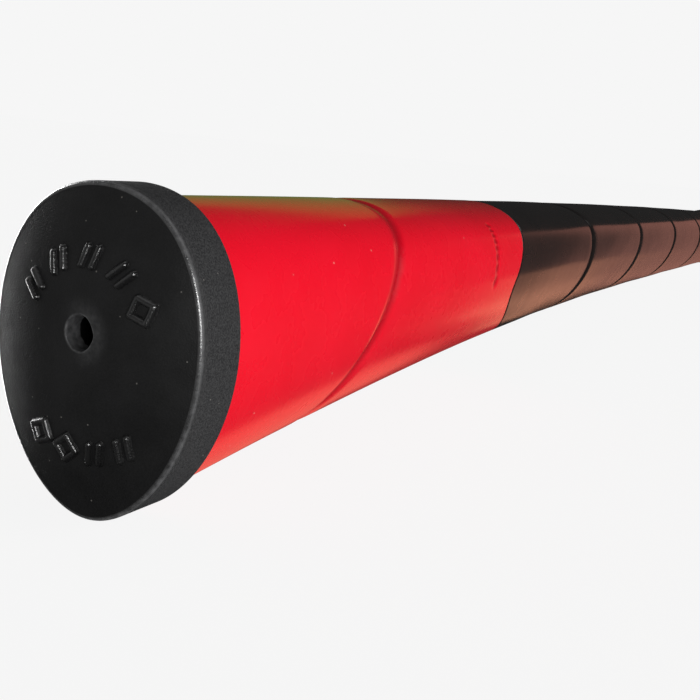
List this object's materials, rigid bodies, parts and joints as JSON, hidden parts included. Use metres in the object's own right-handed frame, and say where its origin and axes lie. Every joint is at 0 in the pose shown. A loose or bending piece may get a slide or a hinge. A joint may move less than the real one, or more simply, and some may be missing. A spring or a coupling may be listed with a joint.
{
  "type": "golf putter grip",
  "caption": "Pistol-shape putter grip with a pear section, a flat front, a two-colour wrapped skin, a vented end cap and a blind shaft bore.",
  "frame": {"origin": "middle of the vent hole's mouth on the cap's outer face, on the shaft bore's axis", "axes": "+Y along the shaft bore from the cap to the shaft mouth, +Z out of the flat front, +X across the grip"},
  "size_m": [0.0256, 0.3812, 0.0341],
  "materials": {
    "cap_rubber": "matte moulded rubber with a fine grain",
    "sleeve_rubber": "moulded soft rubber",
    "felt": "pressed felt",
    "red_skin": "semi-gloss smooth polyurethane",
    "red_seam": "semi-gloss polyurethane filler",
    "black_skin": "semi-gloss smooth polyurethane",
    "black_seam": "semi-gloss polyurethane filler"
  },
  "bodies": {
    "root": {"end_cap": "cap_rubber", "underlisting": "sleeve_rubber", "upper_backing": "felt", "upper_skin": "red_skin", "upper_seam": "red_seam", "lower_backing": "felt", "lower_skin": "black_skin", "lower_seam": "black_seam", "tip_collar": "cap_rubber"}
  },
  "joints": []
}
